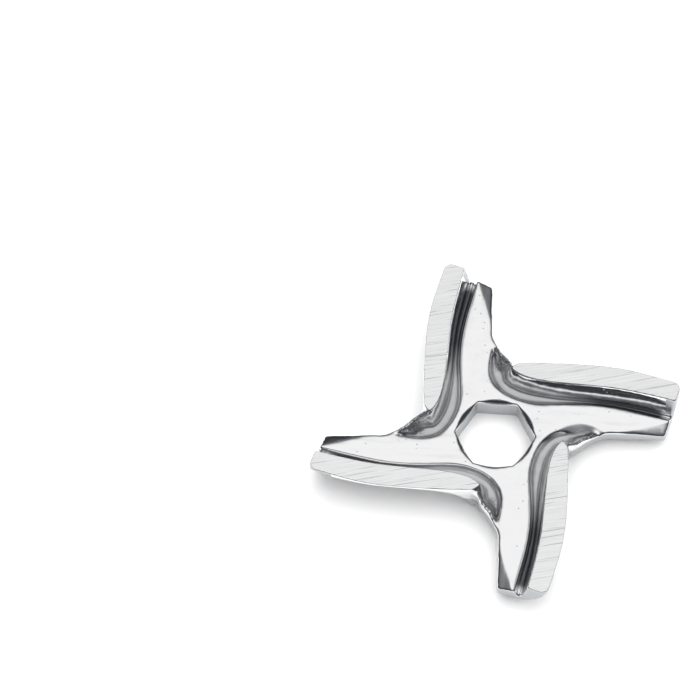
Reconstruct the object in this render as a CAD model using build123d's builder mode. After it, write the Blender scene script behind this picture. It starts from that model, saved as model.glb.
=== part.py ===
"""Meat grinder knife: one stainless casting with four swept cutting arms.

Frame: origin on the bore axis at the hub's back face, +Z up through the lands.
One arm is drawn along +X with its cutting edge on the +Y side, and the crotch
that it shares with the next arm lies beside its root, on the same side. All
the cuts of one arm are then turned about Z to make the four.
"""
import os
from math import cos, radians, sin, sqrt, tan

from build123d import *

# ---------------------------------------------------------------- whole knife
overall_diameter = 47.0      # circle swept by the blade tips
overall_height = 5.2         # hub back face to the ground lands
arm_count = 4

# ------------------------------------------------------------------- hub, bore
hex_across_flats = 8.5       # drive hole
countersink_diameter = 9.6   # conical lead-in on the front of the hole
countersink_angle = 40.0     # its slope, from the hub face
countersink_depth = 0.85
boss_diameter = 15.0         # hub's raised back face
boss_run_in = 0.5            # on from there into the arms' backs
boss_edge = 0.4              # bevel round its back

# ---------------------------------------------------------------- arm, heights
body_drop = 2.15             # front of hub and arms, below the lands
channel_drop = 2.85          # floor of the channel, below the lands
arm_back = 0.7               # arm backs, above the hub's back face
back_radius = 0.9            # rounding of the arm backs and the crotches
step_lean = 15.0             # wall from land down to channel, off upright
crest_lean = 25.0            # wall from crest down to channel, off upright
belly_depth = 4.6            # underside's curve, from the land level to its lowest

# ----------------------------------------------------------------- arm, widths
edge_offset = 9.45           # cutting edge, at its furthest from the arm's radius
land_width = 2.95
channel_width = 1.5          # land to crest of the body, across the channel
body_width = 3.8             # crest to the trailing side
edge_sweep = 1.5             # how far the cutting edge falls back at the tip
crest_sweep = 1.4            # how far the crest falls back at the tip
side_sweep = 0.35            # how far the trailing side comes in at the tip
tip_round = 1.0              # plan radius of the leading tip corner
tip_slant = 15.5             # end face, turned towards the trailing side
tip_fall = 13.0              # slope of the cutting edge where it meets the tip

# ---------------------------------------------------------------- crotch, plan
edge_root = (2.3, 9.1)       # where the cutting edge starts, beside the next arm
edge_start = (1.0, 0.12)     # its way there
side_root = 14.0             # trailing side runs straight from here out
crest_root = (0.1, 6.2)      # crest, half way round the crotch
root_point = (1.35, 8.4)     # land's inner corner there
rim_way = 127.2              # way that the crotch's rim runs, in plan
rim_start = (2.14, 8.98)     # where it leaves the land
rim_reach = 2.2              # width of the rim's cut, to each side

# ------------------------------------------------------- body surface, details
facet_length = 6.5           # sloped facet at the trailing tip, along the arm
facet_drop = 0.65            # how far it falls at the tip
scoop_radius = 4.0           # hollow in one arm's trailing root, at the front
scoop_slope = 24.0           # its floor, falling away from the arm
scoop_out = 10.6             # its middle, along the arm
scoop_aside = 2.8            # and off the trailing side
scoop_over = 0.15            # its cut goes on this far above the front

# ---------------------------------------------------------- how the cuts overlap
clear_height = 0.3           # tools end this far above the lands
front_reach = 0.5            # front's cut, on into the channel

# ----------------------------------------------------------- derived positions
land_level = overall_height
body_level = overall_height - body_drop
floor_level = overall_height - channel_drop
clear_level = land_level + clear_height
tip_radius = overall_diameter / 2
slant_run = tan(radians(tip_slant))
land_side = edge_offset - land_width
crest_side = land_side - channel_width
trail_side = crest_side - body_width

corner_y = edge_offset - edge_sweep - tip_round * cos(radians(tip_fall))
corner_x = sqrt((tip_radius - tip_round) ** 2 - corner_y**2)
end_top = (
    corner_x + tip_round * cos(radians(tip_slant)),
    corner_y - tip_round * sin(radians(tip_slant)),
)
edge_tip = (
    corner_x + tip_round * sin(radians(tip_fall)),
    corner_y + tip_round * cos(radians(tip_fall)),
)
corner_mid = (
    corner_x + tip_round * cos(radians(30)),
    corner_y + tip_round * sin(radians(30)),
)


def end_at(y):
    """Point on the slanted end face, at this distance from the arm's radius."""
    return (end_top[0] + slant_run * (y - end_top[1]), y)


def along(share):
    """Distance out along the arm: 0 at the edge's root, 1 at the tip."""
    return edge_root[0] + share * (edge_tip[0] - edge_root[0])


def next_arm(point):
    """A point given in the next arm's own place, seen from this arm."""
    return (-point[1], point[0])


side_tip = end_at(trail_side + side_sweep)
side_slope = (side_tip[1] - trail_side) / (side_tip[0] - side_root)


def side_at(x):
    """Point on the straight trailing side, at this distance out."""
    return (x, trail_side + side_slope * (x - side_root))


# ------------------------------------------------------ outline, seen from front
with BuildLine() as arm_outline:
    Spline(
        next_arm(side_at(side_root)),
        (-0.75, 12.8),
        (0.3, 11.15),
        (1.4, 9.8),
        edge_root,
        tangents=[(side_slope, -1.0), edge_start],
    )
    Spline(
        edge_root,
        (along(0.35), edge_offset),
        (along(0.70), edge_offset - 0.25),
        edge_tip,
        tangents=[edge_start, (1.0, -tan(radians(tip_fall)))],
    )
    ThreePointArc(edge_tip, corner_mid, end_top)
    Line(end_top, side_tip)
    Line(side_tip, side_at(side_root))

with BuildPart() as blank:
    with BuildSketch(Plane.XY.offset(arm_back)):
        with BuildLine():
            for number in range(arm_count):
                add(arm_outline.line, rotation=number * 360 / arm_count)
        make_face()
    extrude(amount=land_level - arm_back)
    bottom = blank.faces().sort_by(Axis.Z)[0]
    fillet(bottom.edges(), back_radius)

# ------------------------------------------- underside, rising to the cutting edge
# distance out, lowest line, cutting edge and fullness of the underside
belly_stations = [
    (0.4, 10.7, 11.9, 4.0),
    (along(0.0), 8.2, edge_offset + 0.1, 3.2),
    (along(0.08), 6.0, edge_offset + 0.05, 2.0),
    (along(0.22), 3.6, edge_offset + 0.12, 1.6),
    (along(0.45), 2.5, edge_offset + 0.1, 1.5),
    (along(0.70), 2.3, edge_offset - 0.1, 1.5),
    (along(0.90), 2.3, edge_offset - 0.8, 1.5),
    (along(1.0), 2.3, edge_offset - 1.4, 1.5),
    (along(1.12), 2.3, edge_offset - 2.3, 1.5),
]


def belly_points(inner, outer, fullness):
    """Underside in section, from its lowest line up to the cutting edge."""
    shares = (0.0, 0.18, 0.38, 0.58, 0.74, 0.87, 0.96, 1.0)
    return [
        (
            inner + share * (outer - inner),
            land_level - belly_depth * (1 - share**fullness) ** (1 / fullness),
        )
        for share in shares
    ]


with BuildPart() as belly_cut:
    for reach, lowest, edge_y, fullness in belly_stations:
        with BuildSketch(Plane.YZ.offset(reach)):
            with BuildLine():
                belly = Spline(*belly_points(lowest, edge_y, fullness))
                Line(belly @ 1, (edge_y, land_level + 1))
                Line((edge_y, land_level + 1), (15.0, land_level + 1))
                Line((15.0, land_level + 1), (15.0, -1.0))
                Line((15.0, -1.0), (lowest, -1.0))
                Line((lowest, -1.0), belly @ 0)
            make_face()
    loft()

# --------------------------------------------------- channel, down from the land
# each wall is given by points at its top, with their run down to the channel's floor
land_lean = (land_level - floor_level) * tan(radians(step_lean))
crest_lean_run = (body_level - floor_level) * tan(radians(crest_lean))


def at_level(stations, level):
    """Points of a wall at this level; the body's walls stand upright above it."""
    points = []
    for (x, y), top, (run_x, run_y) in stations:
        share = (top - level) / (top - floor_level)
        if top == body_level:
            share = max(share, 0)
        points.append((x + share * run_x, y + share * run_y))
    return points


step_wall = [
    (end_at(land_side - 1.25), land_level, (-0.1, -land_lean)),
    ((along(0.82), land_side - 0.55), land_level, (-0.1, -land_lean)),
    ((along(0.62), land_side - 0.05), land_level, (0.0, -land_lean)),
    ((along(0.37), land_side + 0.1), land_level, (0.0, -land_lean)),
    ((along(0.12), land_side + 0.4), land_level, (-0.1, -land_lean)),
    ((along(0.0), land_side + 1.1), land_level, (-0.35, -land_lean)),
    (root_point, land_level, (-0.65, -0.65)),
]
rim_wall = [
    (root_point, land_level, (-0.65, -0.65)),
    ((1.1, 9.5), 4.1, (-0.6, -0.8)),
    ((0.0, 10.85), 3.6, (-0.5, -1.0)),
    ((-1.0, 12.6), body_level, (0.2, -1.4)),
]
crest_wall = [
    (end_at(crest_side - crest_sweep), body_level, (0.0, crest_lean_run)),
    ((along(0.85), crest_side - 0.85), body_level, (0.0, crest_lean_run)),
    ((along(0.58), crest_side - 0.02), body_level, (0.0, crest_lean_run)),
    ((along(0.32), crest_side - 0.1), body_level, (0.0, crest_lean_run)),
    ((along(0.14), crest_side - 0.4), body_level, (0.0, crest_lean_run)),
    ((along(0.0), crest_side + 0.0), body_level, (0.35 * crest_lean_run, crest_lean_run)),
    (crest_root, body_level, (0.75 * crest_lean_run, 0.75 * crest_lean_run)),
]
side_wall = [
    (crest_root, body_level, (0.75 * crest_lean_run, 0.75 * crest_lean_run)),
    (next_arm((7.5, 0.95)), body_level, (crest_lean_run, 0.3 * crest_lean_run)),
    (next_arm((9.0, trail_side + 0.1)), body_level, (crest_lean_run, 0.0)),
    (next_arm((12.3, trail_side - 0.02)), body_level, (0.25, -1.4)),
]

tip_way = (-1.0, 0.2)        # ways of the walls, where they start and meet
root_way = (-0.45, 0.9)
rim_leave = (-0.28, 0.96)
crest_way = (-0.66, 0.75)

with BuildPart() as channel:
    for level in (floor_level, body_level, clear_level):
        with BuildSketch(Plane.XY.offset(level)):
            with BuildLine():
                step = Spline(*at_level(step_wall, level), tangents=[tip_way, root_way])
                rim = Spline(*at_level(rim_wall, level), tangents=[rim_leave, (-0.35, 1.0)])
                side = Spline(*at_level(side_wall, level), tangents=[crest_way, (0.0, 1.0)])
                crest = Spline(*at_level(crest_wall, level), tangents=[tip_way, crest_way])
                Line(rim @ 1, side @ 1)
                Line(crest @ 0, (tip_radius + 3, (crest @ 0).Y))
                Line((tip_radius + 3, (crest @ 0).Y), (tip_radius + 3, (step @ 0).Y))
                Line((tip_radius + 3, (step @ 0).Y), step @ 0)
            make_face()
    loft(ruled=True)

# --------------------------------- front of the hub and bodies, below the lands
with BuildPart() as front:
    with BuildSketch(Plane.XY.offset(body_level)):
        with BuildLine():
            points = [
                (end_at(crest_side - crest_sweep)[0], crest_side - crest_sweep + front_reach),
                (along(0.85), crest_side - 0.85 + front_reach),
                (along(0.58), crest_side - 0.02 + front_reach),
                (along(0.32), crest_side - 0.1 + front_reach),
                (along(0.14), crest_side - 0.4 + front_reach),
                (along(0.0) + 0.2, crest_side + front_reach),
                (crest_root[0] + 0.4, crest_root[1] + 0.4),
                next_arm((7.5, 0.95 - front_reach)),
                next_arm((9.0, trail_side - 0.3)),
                next_arm((11.2, trail_side - 0.1)),
                next_arm((12.6, trail_side - 0.15)),
            ]
            curve = Spline(*points)
            Polyline(
                curve @ 1,
                (-0.6, 15.0),
                (-2.5, 15.0),
                (-2.5, 0.0),
                (0.0, 0.0),
                (7.5, trail_side - 0.9),
                (9.0, trail_side - 0.4),
                (12.6, trail_side - 0.15),
                (13.6, trail_side - 1.2),
                (tip_radius + 2, trail_side - 1.2),
                (tip_radius + 2, (curve @ 0).Y),
                curve @ 0,
            )
        make_face()
    extrude(amount=clear_level - body_level)

# ------------------------------------ rim of the crotch, falling from the land
rim_plane = Plane(
    origin=(*rim_start, 0),
    x_dir=(cos(radians(rim_way)), sin(radians(rim_way)), 0),
    z_dir=(sin(radians(rim_way)), -cos(radians(rim_way)), 0),
)
rim_fall = (                 # way along the rim, and drop below the lands
    (0.0, 0.0),
    (0.35, 0.75),
    (0.95, 1.15),
    (2.4, 1.6),
    (3.6, 1.95),
    (4.6, body_drop),
)
rim_run_out = 0.9            # level stretch at its end
with BuildPart() as rim_cut:
    with BuildSketch(rim_plane):
        with BuildLine():
            fall = Spline(*[(way, land_level - drop) for way, drop in rim_fall])
            Polyline(
                fall @ 1,
                (rim_fall[-1][0] + rim_run_out, body_level),
                (rim_fall[-1][0] + rim_run_out, clear_level),
                (rim_fall[0][0] - 0.15, clear_level),
                fall @ 0,
            )
        make_face()
    extrude(amount=rim_reach, both=True)

# ---------------------------------- sloped facet at the trailing corner's tip
facet_top = (end_at(crest_side - crest_sweep)[0] - 0.35, crest_side - crest_sweep - 0.2)
facet_end = (facet_top[0] - facet_length, trail_side + 0.05)
facet_way = Vector(facet_end[0] - facet_top[0], facet_end[1] - facet_top[1], 0)
facet_fall = Vector(side_tip[0] - facet_top[0], side_tip[1] - facet_top[1], -facet_drop)
facet_plane = Plane(
    origin=(*facet_top, body_level),
    x_dir=facet_way,
    z_dir=facet_way.cross(facet_fall),
)

with BuildPart() as facet:
    with BuildSketch(Plane.XY.offset(arm_back)):
        with BuildLine():
            Polyline(
                (facet_end[0] - 1.0, trail_side - 1.2),
                (facet_top[0] + 3.0, trail_side - 1.2),
                (facet_top[0] + 3.0, facet_top[1] + 0.15),
                (facet_end[0] - 1.0, facet_top[1] + 0.15),
                close=True,
            )
        make_face()
    extrude(amount=land_level - arm_back)
    split(bisect_by=facet_plane, keep=Keep.TOP)

# ------------------------------------- hollow in the root of one arm's trailing side
scoop_height = body_level + scoop_over - floor_level
scoop_spread = 1 / tan(radians(scoop_slope))
with BuildPart() as scoop:
    with Locations((scoop_out, trail_side - scoop_aside, floor_level)):
        Cone(
            scoop_radius - (body_level - floor_level) * scoop_spread,
            scoop_radius + scoop_over * scoop_spread,
            scoop_height,
            align=(Align.CENTER, Align.CENTER, Align.MIN),
        )
    with BuildSketch(Plane.XY.offset(floor_level)):
        with BuildLine():
            Polyline(
                (7.0, trail_side - 0.3),
                (9.0, trail_side - 0.3),
                (12.2, trail_side - 0.1),
                (13.4, trail_side - 1.2),
                (16.0, trail_side - 1.2),
                (16.0, trail_side + scoop_radius),
                (7.0, trail_side + scoop_radius),
                close=True,
            )
        make_face()
    extrude(amount=scoop_height, mode=Mode.INTERSECT)

# ------------------------------------------------------- boss on the hub's back
with BuildPart() as boss:
    with BuildSketch():
        Circle(boss_diameter / 2)
    extrude(amount=arm_back + boss_run_in)
    chamfer(boss.edges().sort_by(Axis.Z)[0], boss_edge)

# ---------------------------------------------------------------- whole knife
with BuildPart() as knife:
    add(blank.part)
    with PolarLocations(0, arm_count):
        add(belly_cut.part, mode=Mode.SUBTRACT)
    with PolarLocations(0, arm_count):
        add(channel.part, mode=Mode.SUBTRACT)
    with PolarLocations(0, arm_count):
        add(front.part, mode=Mode.SUBTRACT)
    with PolarLocations(0, arm_count):
        add(rim_cut.part, mode=Mode.SUBTRACT)
    with PolarLocations(0, arm_count):
        add(facet.part, mode=Mode.SUBTRACT)
    add(scoop.part, mode=Mode.SUBTRACT)
    add(boss.part)
    with BuildSketch():
        RegularPolygon(hex_across_flats / 2, 6, major_radius=False)
    extrude(amount=overall_height, mode=Mode.SUBTRACT)
    with Locations((0, 0, body_level)):
        Cone(
            countersink_diameter / 2 - countersink_depth / tan(radians(countersink_angle)),
            countersink_diameter / 2,
            countersink_depth,
            align=(Align.CENTER, Align.CENTER, Align.MAX),
            mode=Mode.SUBTRACT,
        )

knife.part.label = "knife"

os.makedirs("parts", exist_ok=True)
export_step(knife.part, "parts/knife.step")
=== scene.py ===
# %% [markdown]
# # A meat grinder knife
# The knife is one stainless casting: a hub with a hexagonal hole and four swept
# arms. It was cast, polished all over, and then its four cutting lands were ground
# flat. Its exact shape comes from the CAD solid, so this lesson starts by loading
# that solid, and the lessons after it are about what makes steel look like steel:
# its finish, and what it has to reflect.

# %% Load the solid
import math

import bpy
import numpy as np

from mathutils import Matrix, Vector


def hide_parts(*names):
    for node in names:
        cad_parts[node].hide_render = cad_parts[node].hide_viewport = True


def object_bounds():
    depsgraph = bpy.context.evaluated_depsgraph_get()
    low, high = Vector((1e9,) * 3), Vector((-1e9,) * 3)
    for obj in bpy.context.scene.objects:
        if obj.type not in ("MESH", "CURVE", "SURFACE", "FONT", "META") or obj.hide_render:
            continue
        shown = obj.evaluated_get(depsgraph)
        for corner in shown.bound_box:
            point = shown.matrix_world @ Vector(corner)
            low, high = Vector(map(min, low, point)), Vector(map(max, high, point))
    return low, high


MM = 0.001

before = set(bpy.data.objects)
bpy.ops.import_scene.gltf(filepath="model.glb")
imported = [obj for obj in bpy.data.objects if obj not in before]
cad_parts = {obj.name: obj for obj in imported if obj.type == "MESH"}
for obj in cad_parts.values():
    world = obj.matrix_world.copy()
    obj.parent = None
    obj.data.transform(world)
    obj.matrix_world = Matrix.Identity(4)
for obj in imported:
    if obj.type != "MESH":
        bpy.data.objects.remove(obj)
cad_low, cad_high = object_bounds()
knife = bpy.data.objects["knife"]
print("knife:", [round((b - a) / MM, 2) for a, b in zip(cad_low, cad_high)], "mm")

# %% [markdown]
# ## An even mesh
# A cast knife is tumbled in a drum of stones, which rounds the edges that they reach,
# and then its four lands are ground flat. Bevels could round the edges, but they
# fail where the arms' curved walls run together at the crotches. So a copy of the
# solid gets an even mesh from a voxel Remesh, and can then be worn down all over.
# The doubles are merged first, because a CAD mesh is loose triangles.

# %% An even mesh
VOXEL = 0.168 * MM            # keeps the piece under 200,000 triangles
WELD = 0.002 * MM
LAND_LEVEL = cad_high[2]

bpy.ops.object.select_all(action="DESELECT")
knife.select_set(True)
bpy.context.view_layer.objects.active = knife
bpy.ops.object.duplicate()
casting = bpy.context.object
casting.name = casting.data.name = "knife_tumbled"
bpy.ops.object.mode_set(mode="EDIT")
bpy.ops.mesh.select_all(action="SELECT")
bpy.ops.mesh.remove_doubles(threshold=WELD)
bpy.ops.object.mode_set(mode="OBJECT")
even = casting.modifiers.new("even_mesh", "REMESH")
even.mode = "VOXEL"
even.voxel_size = VOXEL
bpy.ops.object.modifier_apply(modifier="even_mesh")
print("even mesh:", len(casting.data.polygons), "faces")

# %% [markdown]
# ## How much each place wears
# The stones roll freely along the arms, but the hole and its lead-in are too small
# for them, and the rims of the lands are cut again afterwards. A vertex group holds
# the share of the wear at each point, so one modifier can wear them differently. The
# tips keep more of their edges too. The shares were chosen one by one.

# %% How much each place wears
HUB_RIM = 5.4 * MM            # the drive hole and its lead-in stay crisp
HUB_FADE = 1.2 * MM
TIP_WEAR = 21.0 * MM          # and so, nearly, do the tips
TIP_FADE = 1.5 * MM
TIP_SPARED = 0.8
LAND_EDGE = 0.25 * MM


def ramp_up(value, start, end):
    """0 before start, 1 after end, and straight between."""
    return min(max((value - start) / (end - start), 0.0), 1.0)


def wear(place):
    """Share of the full wear at a point of the casting."""
    reach = place.xy.length
    off_hole = ramp_up(reach, HUB_RIM, HUB_RIM + HUB_FADE)
    off_tip = 1 - TIP_SPARED * ramp_up(reach, TIP_WEAR - TIP_FADE, TIP_WEAR)
    off_land = ramp_up(LAND_LEVEL - place.z, LAND_EDGE, 3 * LAND_EDGE)
    return off_hole * off_tip * off_land


worn = casting.vertex_groups.new(name="worn")
for vertex in casting.data.vertices:
    worn.add([vertex.index], wear(vertex.co), "REPLACE")
print("worn in full:", sum(wear(vertex.co) > 0.99 for vertex in casting.data.vertices), "points")

# %% [markdown]
# ## Tumble
# A Smooth modifier moves each point towards its neighbours, which is what wear does:
# sharp edges go down, and sharp inner corners fill. A few rounds go over everything
# and take off the steps of the voxels, and more rounds follow where the group says.

# %% Tumble
ALL_ROUNDS = 5
ARM_ROUNDS = 17

for name, group, rounds in (("all_edges", "", ALL_ROUNDS), ("arms", "worn", ARM_ROUNDS)):
    shape_before = [vertex.co.copy() for vertex in casting.data.vertices]
    tumble = casting.modifiers.new(name, "SMOOTH")
    tumble.factor = 0.5
    tumble.iterations = rounds
    tumble.vertex_group = group
    bpy.ops.object.modifier_apply(modifier=name)
for vertex in casting.data.vertices:
    vertex.co.z = max(vertex.co.z, cad_low[2])      # the boss still stands on the floor
print("tumbled,", ALL_ROUNDS + ARM_ROUNDS, "rounds")

# %% [markdown]
# ## Where the hollows are
# The finish further on needs to know which places are hollow. The tumbling has
# measured that already: a point that moved outwards sits in a hollow that filled.
# Those distances are averaged with their neighbours' a few times, which spreads them
# over the width of a channel, and are kept on the mesh as an attribute.

# %% Where the hollows are
SPREAD_ROUNDS = 28

fill = np.array([
    (vertex.co - before).dot(vertex.normal) / MM
    for vertex, before in zip(casting.data.vertices, shape_before)
])
ends = np.array([edge.vertices[:] for edge in casting.data.edges])
neighbours = np.bincount(ends.ravel())
for _ in range(SPREAD_ROUNDS):
    around = np.bincount(ends.ravel(), fill[ends[:, ::-1].ravel()])
    fill = (fill + around / neighbours) / 2
hollow = casting.data.attributes.new("hollow", "FLOAT", "POINT")
hollow.data.foreach_set("value", fill)
print("fill in the hollows, spread out, at most", round(fill.max(), 3), "mm")

# %% [markdown]
# ## Grind the lands
# Grinding takes a thin layer off the tops of the arms, so it leaves flat faces with
# crisp rims. The tumbled casting is stretched by that layer and cut off at the lands'
# level with a bisect, which closes the cut with four new faces.

# %% Grind the lands
GROUND_OFF = 0.09 * MM        # taken off the tumbled lands by the stone
CUT_CLOSE = 0.001 * MM
FLAT = 0.999

bpy.ops.object.shade_smooth()
bpy.ops.object.mode_set(mode="EDIT")
bpy.ops.mesh.select_all(action="SELECT")
bpy.ops.transform.resize(
    value=(1, 1, (LAND_LEVEL + GROUND_OFF) / LAND_LEVEL), center_override=(0, 0, 0),
)
bpy.ops.mesh.bisect(
    plane_co=(0, 0, LAND_LEVEL), plane_no=(0, 0, 1),
    use_fill=True, clear_outer=True, threshold=CUT_CLOSE,
)
bpy.ops.mesh.mark_sharp()
bpy.ops.object.mode_set(mode="OBJECT")
lands = [
    face for face in casting.data.polygons
    if face.normal.z > FLAT and face.center.z > LAND_LEVEL - CUT_CLOSE
]
casting.data.calc_loop_triangles()
print("triangles:", len(casting.data.loop_triangles))
print("lands:", len(lands), "faces,", round(sum(face.area for face in lands) / MM**2, 1), "mm2")
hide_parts("knife")

# %% [markdown]
# ## Colours and nodes
# Colours are written as the hex values that a paint program shows. Blender works in
# linear light, so one function turns them. A second small function adds a node,
# sets its values and joins its inputs, so that each finish below reads as a list. An
# input is given by its name, or by i and its number where names repeat.


# %% Two helpers
def colour(hex_value):
    """Turn an sRGB hex colour into the linear colour that Blender works in."""
    linear = []
    for start in (1, 3, 5):
        part = int(hex_value[start:start + 2], 16) / 255
        linear.append(part / 12.92 if part <= 0.04045 else ((part + 0.055) / 1.055) ** 2.4)
    return (*linear, 1.0)


def add(tree, kind, settings=None, **inputs):
    """Add a node, set its properties, and set or join its inputs."""
    node = tree.nodes.new("ShaderNode" + kind)
    for name, value in (settings or {}).items():
        setattr(node, name, value)
    for name, value in inputs.items():
        by_number = name[0] == "i" and name[1:].isdigit()
        socket = node.inputs[int(name[1:]) if by_number else name.replace("_", " ")]
        if isinstance(value, bpy.types.NodeSocket):
            tree.links.new(value, socket)
        else:
            socket.default_value = value
    return node


# %% [markdown]
# ## Two finishes of one steel
# Stainless steel is a metal: what the eye sees is its reflections, so a finish is
# mostly how smooth and how even the surface is. The tumbled casting is bright and a
# little uneven, with its unevenness along each arm, and the grain of the mould is
# left in the crotches. The ground lands are duller, with straight lines in one
# direction over all four, because the whole knife lay on the stone at once.
#
# The tones are a different matter. Steel's own colour is one light grey all over.
# Here the fronts and lands are lighter than that, the upright sides are darker, and
# the hollows are darker still. Those are not marks on the steel. They stand in for
# bright and dark surroundings that this simple tent doesn't have, and they were
# chosen one by one, so in another setting they should be taken out again.

# %% Sizes of the finishes
GRIND_TURN = math.radians(15)      # way of the stone over the lands
GRIT_LENGTH = 7 * MM
GRIT_WIDTH = 0.07 * MM             # real grit is some 0.02 mm: drawn coarser, to show
GRIT_DEPTH = 0.004 * MM
SCORE_LENGTH = 8 * MM              # deeper, separate scores between them
SCORE_WIDTH = 0.2 * MM
SCORE_DEPTH = 0.008 * MM
STREAK_LENGTH = 9 * MM
STREAK_WIDTH = 1.4 * MM
STREAK_HEIGHT = 0.1 * MM
DIMPLE = 1.9 * MM
DIMPLE_HEIGHT = 0.045 * MM
PIT = 0.9 * MM                     # spacing of the casting's pits
PIT_DEPTH = 0.02 * MM
MOULD_GRAIN = 0.34 * MM
GRAIN_HEIGHT = 0.16 * MM
EDGE_ROUND = 0.12 * MM
SIDE_TOP = 3.0 * MM                # front of the arms, where their sides end
SIDE_FADE = 0.3 * MM
TIP_FACE = 21.4 * MM
# the painted shade of the hollows is faint at the wide roots of the channels and full beyond them
ROOT_OPEN = 9.0 * MM               # wide root of a channel, where the dark tone is faint
ROOT_FADE = 5 * MM
ROOT_PAINTED_SHADE = 0.22
CROTCH_MIDDLE = math.radians(87)   # crotch, seen from the bore
CROTCH_INNER = 9.4 * MM
CROTCH_OUTER = 12.6 * MM
CROTCH_WIDTH = 0.75 * MM
QUARTER = math.radians(90)
# painted reflection: the fronts are steel painted lighter than its own grey, for bright surroundings
FRONT_STEEL_AND_PAINTED_REFLECTION = "#F2F2F3"             # lighter than steel's own
# painted shade: the upright sides are steel painted darker, as if they mirrored darker surroundings
SIDE_STEEL_AND_PAINTED_SHADE = "#B4B6B8"
# painted shade in the channels and other hollows
HOLLOW_PAINTED_SHADE = "#6C6E71"            # stands in for dark surroundings, not for dark steel
print("finest line drawn:", round(GRIT_WIDTH / MM, 3), "mm")

# %% [markdown]
# ## Where the crotches are
# The four crotches are alike and a quarter turn apart, so the angle around the axis
# is folded to one quarter, and a single mask then does for all of them.


# %% Where the crotches are
def plan_reach(tree, split):
    """Distance from the hole's axis."""
    flat = add(tree, "CombineXYZ", X=split.outputs["X"], Y=split.outputs["Y"]).outputs[0]
    return add(tree, "VectorMath", {"operation": "LENGTH"}, i0=flat).outputs["Value"]


def crotch_mask(tree, place):
    """1 in the four crotches, fading to 0 around them."""
    split = add(tree, "SeparateXYZ", Vector=place)
    x, y = split.outputs["X"], split.outputs["Y"]
    turn = add(tree, "Math", {"operation": "ARCTAN2"}, i0=y, i1=x).outputs[0]
    start = CROTCH_MIDDLE - QUARTER / 2
    shifted = add(tree, "Math", {"operation": "SUBTRACT"}, i0=turn, i1=start).outputs[0]
    folded = add(tree, "Math", {"operation": "FLOORED_MODULO"}, i0=shifted, i1=QUARTER).outputs[0]
    aside = add(tree, "Math", {"operation": "SUBTRACT"}, i0=folded, i1=QUARTER / 2).outputs[0]
    reach = plan_reach(tree, split)
    across = add(tree, "Math", {"operation": "MULTIPLY"}, i0=aside, i1=reach).outputs[0]
    off_middle = add(tree, "Math", {"operation": "ABSOLUTE"}, i0=across).outputs[0]
    smooth = {"interpolation_type": "SMOOTHSTEP"}
    near = add(
        tree, "MapRange", smooth, Value=off_middle,
        From_Min=CROTCH_WIDTH, From_Max=2.2 * CROTCH_WIDTH, To_Min=1.0, To_Max=0.0,
    ).outputs[0]
    begun = add(
        tree, "MapRange", smooth, Value=reach, From_Min=CROTCH_INNER - MM, From_Max=CROTCH_INNER,
    ).outputs[0]
    ended = add(
        tree, "MapRange", smooth, Value=reach,
        From_Min=CROTCH_OUTER, From_Max=CROTCH_OUTER + MM, To_Min=1.0, To_Max=0.0,
    ).outputs[0]
    inside = add(tree, "Math", {"operation": "MULTIPLY"}, i0=begun, i1=ended).outputs[0]
    return add(tree, "Math", {"operation": "MULTIPLY"}, i0=near, i1=inside).outputs[0]


# %% [markdown]
# ## Streaks along the arms
# Polishing leaves long soft waves that follow each arm. A noise that is stretched
# along X suits two arms and one along Y the others, and a third measure, which of
# the two directions a point lies in, picks between them.


# %% Streaks along the arms
def stretched_noise(tree, place, length_x, length_y):
    """A soft noise with its own length along X and along Y."""
    stretched = add(
        tree, "Mapping", Vector=place, Scale=(1 / length_x, 1 / length_y, 1 / STREAK_LENGTH),
    ).outputs[0]
    return add(
        tree, "TexNoise", Vector=stretched, Scale=1.0, Detail=1.0, Roughness=0.4,
    ).outputs["Fac"]


def arm_streaks(tree, place):
    """Soft unevenness that runs along whichever arm the point is on."""
    split = add(tree, "SeparateXYZ", Vector=place)
    x_way = stretched_noise(tree, place, STREAK_LENGTH, STREAK_WIDTH)
    y_way = stretched_noise(tree, place, STREAK_WIDTH, STREAK_LENGTH)
    size_x = add(tree, "Math", {"operation": "ABSOLUTE"}, i0=split.outputs["X"]).outputs[0]
    size_y = add(tree, "Math", {"operation": "ABSOLUTE"}, i0=split.outputs["Y"]).outputs[0]
    lead = add(tree, "Math", {"operation": "SUBTRACT"}, i0=size_y, i1=size_x).outputs[0]
    on_y = add(
        tree, "MapRange", {"interpolation_type": "SMOOTHSTEP"}, Value=lead,
        From_Min=-2 * MM, From_Max=2 * MM,
    ).outputs[0]
    return add(tree, "Mix", {"data_type": "FLOAT"}, i0=on_y, i2=x_way, i3=y_way).outputs[0]


# %% [markdown]
# ## Sides and hollows
# Two masks say where the painted tones change: painted shade on the sides and, darker,
# in the hollows. The sides are found by how upright they are and how low they lie, and
# the tips by how far out they are. The hollows are read from the attribute that the
# tumbling left.


# %% Sides and hollows
def metal(name):
    """A new metal, with its tree, shader and object coordinates."""
    material = bpy.data.materials.new(name)
    material.use_nodes = True
    tree = material.node_tree
    shader = tree.nodes["Principled BSDF"]
    shader.inputs["Metallic"].default_value = 1.0
    return material, tree, shader, add(tree, "TexCoord").outputs["Object"]


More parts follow.
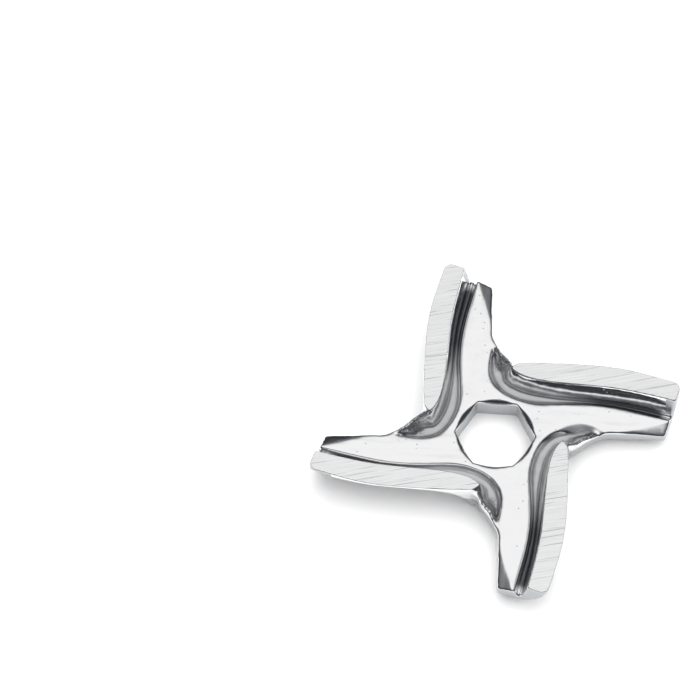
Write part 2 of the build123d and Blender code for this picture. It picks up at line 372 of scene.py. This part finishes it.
def side_mask(tree, place):
    """1 on the upright sides of the arms, the hole and the tips."""
    # this mask places the sides' painted shade, and also their rougher finish
    facing = add(tree, "NewGeometry").outputs["Normal"]
    upright = add(tree, "SeparateXYZ", Vector=facing).outputs["Z"]
    steep = add(tree, "Math", {"operation": "ABSOLUTE"}, i0=upright).outputs[0]
    wall = add(
        tree, "MapRange", Value=steep, From_Min=0.35, From_Max=0.6, To_Min=1.0, To_Max=0.0,
    ).outputs[0]
    split = add(tree, "SeparateXYZ", Vector=place)
    low = add(
        tree, "MapRange", Value=split.outputs["Z"],
        From_Min=SIDE_TOP - SIDE_FADE, From_Max=SIDE_TOP, To_Min=1.0, To_Max=0.0,
    ).outputs[0]
    reach = plan_reach(tree, split)
    at_tip = add(tree, "Math", {"operation": "GREATER_THAN"}, i0=reach, i1=TIP_FACE).outputs[0]
    there = add(tree, "Math", {"operation": "MAXIMUM"}, i0=low, i1=at_tip).outputs[0]
    return add(tree, "Math", {"operation": "MULTIPLY"}, i0=wall, i1=there).outputs[0]


def hollow_mask(tree):
    """1 in the channels and other hollows, from the attribute on the mesh."""
    # this mask places the painted shade of the hollows, and also their higher roughness
    filled = add(tree, "Attribute", {"attribute_name": "hollow"}).outputs["Fac"]
    return add(
        tree, "MapRange", {"interpolation_type": "SMOOTHSTEP"}, Value=filled,
        From_Min=0.001, From_Max=0.013,
    ).outputs[0]


# %% [markdown]
# ## The tumbled casting
# It is bright, softly uneven stainless steel, so it has a low roughness and a chain
# of bumps: streaks, dimples, pits, and mould grain in the crotches. The painted tones
# are laid over its colour: a painted reflection on the fronts, and painted shade on
# the sides and in the hollows. The hollows are also rougher, which blurs the many
# thin reflections that a narrow channel would otherwise show.


# %% The tumbled casting
def tumbled_casting():
    """Bright, softly uneven stainless steel, with mould grain in the crotches, painted lighter on the
    fronts and with painted shade on the sides and in the hollows.
    """
    material, tree, shader, place = metal("stainless_cast_tumbled_with_painted_light")
    crotch = crotch_mask(tree, place)
    side = side_mask(tree, place)
    hollows = hollow_mask(tree)
    # painted shade of the hollows: faint at the roots, full further out along the arms
    reach = add(tree, "VectorMath", {"operation": "LENGTH"}, i0=place).outputs["Value"]
    painted_shade_by_reach = add(
        tree, "MapRange", Value=reach,
        From_Min=ROOT_OPEN, From_Max=ROOT_OPEN + ROOT_FADE, To_Min=ROOT_PAINTED_SHADE, To_Max=1.0,
    ).outputs[0]
    painted_hollow_shade = add(tree, "Math", {"operation": "MULTIPLY"}, i0=hollows, i1=painted_shade_by_reach).outputs[0]
    colours = {"data_type": "RGBA"}
    painted_front_and_side = add(tree, "Mix", colours, i0=side, i6=colour(FRONT_STEEL_AND_PAINTED_REFLECTION), i7=colour(SIDE_STEEL_AND_PAINTED_SHADE)).outputs[2]
    tint = add(tree, "Mix", colours, i0=painted_hollow_shade, i6=painted_front_and_side, i7=colour(HOLLOW_PAINTED_SHADE)).outputs[2]
    tree.links.new(tint, shader.inputs["Base Color"])
    share = {"data_type": "FLOAT"}
    bright = add(tree, "Mix", share, i0=crotch, i2=0.1, i3=0.22).outputs[0]
    low_rough = add(tree, "Mix", share, i0=side, i2=bright, i3=0.32).outputs[0]
    rough = add(tree, "Mix", share, i0=hollows, i2=low_rough, i3=0.4).outputs[0]
    tree.links.new(rough, shader.inputs["Roughness"])

    waves = arm_streaks(tree, place)
    streaks = add(tree, "Bump", Strength=1.0, Distance=STREAK_HEIGHT, Height=waves).outputs[0]
    dimples = add(
        tree, "TexNoise", Vector=place, Scale=1 / DIMPLE, Detail=2.0, Roughness=0.45,
    ).outputs["Fac"]
    dimpled = add(
        tree, "Bump", Strength=1.0, Distance=DIMPLE_HEIGHT, Height=dimples, Normal=streaks,
    ).outputs[0]
    cells = add(tree, "TexVoronoi", Vector=place, Scale=1 / PIT, Randomness=1.0).outputs["Distance"]
    pits = add(tree, "MapRange", Value=cells, From_Min=0.03, From_Max=0.11).outputs[0]
    pitted = add(
        tree, "Bump", Strength=1.0, Distance=PIT_DEPTH, Height=pits, Normal=dimpled,
    ).outputs[0]
    grain = add(
        tree, "TexNoise", Vector=place, Scale=1 / MOULD_GRAIN, Detail=2.0, Roughness=0.5,
    ).outputs["Fac"]
    kept = add(tree, "Math", {"operation": "MULTIPLY"}, i0=grain, i1=crotch).outputs[0]
    relief = add(
        tree, "Bump", Strength=1.0, Distance=GRAIN_HEIGHT, Height=kept, Normal=pitted,
    ).outputs[0]
    tree.links.new(relief, shader.inputs["Normal"])
    return material


# %% [markdown]
# ## The ground lands
# Grinding leaves fine straight lines with a few deeper scores among them. A noise
# that is long one way and thin the other gives both, at two widths. The Bevel node
# softens the shading at the lands' rims, since no ground edge is perfectly sharp.


# %% The ground lands
def along_grind(tree, place, length, width):
    """Coordinates stretched along the way of the stone."""
    return add(
        tree, "Mapping", {"vector_type": "TEXTURE"}, Vector=place,
        Rotation=(0, 0, GRIND_TURN), Scale=(length, width, MM),
    ).outputs[0]


def ground_land():
    """Flat-ground stainless steel: fine grit lines, with sparse deeper scores, on a colour painted
    lighter than steel's own as a painted reflection.
    """
    material, tree, shader, place = metal("stainless_ground_flat_painted_reflection")
    fine = along_grind(tree, place, GRIT_LENGTH, GRIT_WIDTH)
    grit = add(tree, "TexNoise", Vector=fine, Scale=1.0, Detail=3.0, Roughness=0.6).outputs["Fac"]
    coarse = along_grind(tree, place, SCORE_LENGTH, SCORE_WIDTH)
    lines = add(tree, "TexNoise", Vector=coarse, Scale=1.0, Detail=2.0, Roughness=0.5).outputs["Fac"]
    scores = add(tree, "MapRange", Value=lines, From_Min=0.61, From_Max=0.72).outputs[0]

    rough = add(
        tree, "MapRange", Value=grit, From_Min=0.3, From_Max=0.7, To_Min=0.2, To_Max=0.3,
    ).outputs[0]
    tree.links.new(rough, shader.inputs["Roughness"])
    colours = {"data_type": "RGBA"}
    # painted reflection: the lands' colour, white to light grey, is lighter than steel's own, for
    # bright surroundings; the grit and the scores vary it
    fine_tint = add(
        tree, "Mix", colours, i0=grit, i6=colour("#FFFFFF"), i7=colour("#E4E5E6"),
    ).outputs[2]
    tint = add(tree, "Mix", colours, i0=scores, i6=fine_tint, i7=colour("#DADCDD")).outputs[2]
    tree.links.new(tint, shader.inputs["Base Color"])
    rounded = add(tree, "Bevel", {"samples": 6}, Radius=EDGE_ROUND).outputs[0]
    grit_bump = add(
        tree, "Bump", Strength=1.0, Distance=GRIT_DEPTH, Height=grit, Normal=rounded,
    ).outputs[0]
    relief = add(
        tree, "Bump", {"invert": True}, Strength=1.0, Distance=SCORE_DEPTH,
        Height=scores, Normal=grit_bump,
    ).outputs[0]
    tree.links.new(relief, shader.inputs["Normal"])
    return material


# %% [markdown]
# ## Put the finishes on
# The casting has two material slots, and the four ground faces use the second. The
# CAD node that it stands for gets the casting's finish as well.

# %% Put them on
casting.data.materials.clear()
casting.data.materials.append(tumbled_casting())
casting.data.materials.append(ground_land())
for face in lands:
    face.material_index = 1
knife.data.materials.clear()
knife.data.materials.append(casting.data.materials[0])
print("finishes:", [material.name for material in casting.data.materials])

# %% [markdown]
# ## White paper floor
# Bright steel shows its surroundings and little else, so they are built with as much
# care as the knife. It lies on matte white paper, which has no gloss of its own.


# %% White paper floor
def white_paper():
    material = bpy.data.materials.new("matte_white_paper")
    material.use_nodes = True
    shader = material.node_tree.nodes["Principled BSDF"]
    shader.inputs["Base Color"].default_value = colour("#F7F7F7")
    shader.inputs["Roughness"].default_value = 1.0
    shader.inputs["Specular IOR Level"].default_value = 0.0
    return material


bpy.ops.object.select_all(action="DESELECT")
bpy.ops.mesh.primitive_plane_add(size=6.0, location=(0, 0, 0))
floor = bpy.context.object
floor.name = "floor"
floor.data.materials.append(white_paper())
print("floor:", tuple(floor.dimensions[:2]), "m")

# %% [markdown]
# ## Light tent
# The tent is white overhead and falls to charcoal lower down: the flat fronts look up
# into the white, and the steps and sloped facets look into the dark. It also leans,
# so the dark reaches higher at the front. Both were tuned to this one camera, and
# seen from low down the lands mirror the dark part and look nearly black. The paper
# needs more light than the tent gives, so a wide sun adds it, and that sun is kept
# out of the steel's reflections.

# %% Light tent
# height of a direction (0 horizon, 1 overhead) and the grey that the tent has there
TENT = (
    (0.00, "#7C7E80"), (0.15, "#55575A"), (0.28, "#37383B"), (0.56, "#37383B"),
    (0.70, "#6C6D70"), (0.84, "#828385"), (0.89, "#A4A5A6"), (0.93, "#D8D8D8"),
    (0.965, "#F3F3F3"), (1.00, "#FFFFFF"),
)
TENT_TILT = 0.25              # share of a direction's Y that counts as height

world = bpy.data.worlds.new("light_tent")
bpy.context.scene.world = world
world.use_nodes = True
sky = world.node_tree
toward = add(sky, "TexCoord").outputs["Generated"]
way = add(sky, "SeparateXYZ", Vector=toward)
lift = add(
    sky, "Math", {"operation": "MULTIPLY_ADD"},
    i0=way.outputs["Y"], i1=TENT_TILT, i2=way.outputs["Z"],
).outputs[0]
ramp = add(sky, "ValToRGB", Fac=lift)
stops = ramp.color_ramp.elements
stops[0].position, stops[0].color = TENT[0][0], colour(TENT[0][1])
stops[1].position, stops[1].color = TENT[-1][0], colour(TENT[-1][1])
for position, hex_value in TENT[1:-1]:
    stops.new(position).color = colour(hex_value)
sky.links.new(ramp.outputs[0], sky.nodes["Background"].inputs["Color"])
sky.nodes["Background"].inputs["Strength"].default_value = 1.0

bpy.ops.object.light_add(
    type="SUN", location=(0, 0, 0.5), rotation=(math.radians(-12), math.radians(8), 0),
)
sun = bpy.context.object
sun.name = "floor_light"
sun.data.energy = 3.9
sun.data.angle = math.radians(110)
sun.visible_glossy = False
bpy.context.scene.view_settings.view_transform = "Standard"
print("tent stops:", len(stops), "sun strength:", sun.data.energy)

# %% [markdown]
# ## Camera
# The camera stands well back with a long lens, so the four arms keep their true
# proportions, and it looks down at about 61 degrees.

# %% Camera
VIEW_HEIGHT = math.radians(61.38)
VIEW_TURN = math.radians(-3.57)
VIEW_ROLL = math.radians(-0.99)
VIEW_DISTANCE = 676.8 * MM
AIM = Vector((-17.94, 9.29, 0)) * MM       # picture centre, from the knife's own
LENS = 282.9
SENSOR = 36.0

turn = Matrix.Rotation(VIEW_TURN, 3, "Z")
tilt = Matrix((
    (1, 0, 0),
    (0, math.sin(VIEW_HEIGHT), math.cos(VIEW_HEIGHT)),
    (0, -math.cos(VIEW_HEIGHT), math.sin(VIEW_HEIGHT)),
))
to_view = Matrix.Rotation(VIEW_ROLL, 3, "Z") @ tilt @ turn
view_back = to_view.transposed()

camera_data = bpy.data.cameras.new("camera")
camera_data.sensor_width = SENSOR
camera_data.lens = LENS
camera_data.clip_start = 0.01
camera = bpy.data.objects.new("camera", camera_data)
bpy.context.collection.objects.link(camera)
camera.matrix_world = Matrix.Translation(
    view_back @ (AIM + Vector((0, 0, VIEW_DISTANCE))) + Vector((0, 0, LAND_LEVEL))
) @ view_back.to_4x4()
bpy.context.scene.camera = camera
print("camera:", [round(v, 3) for v in camera.location])
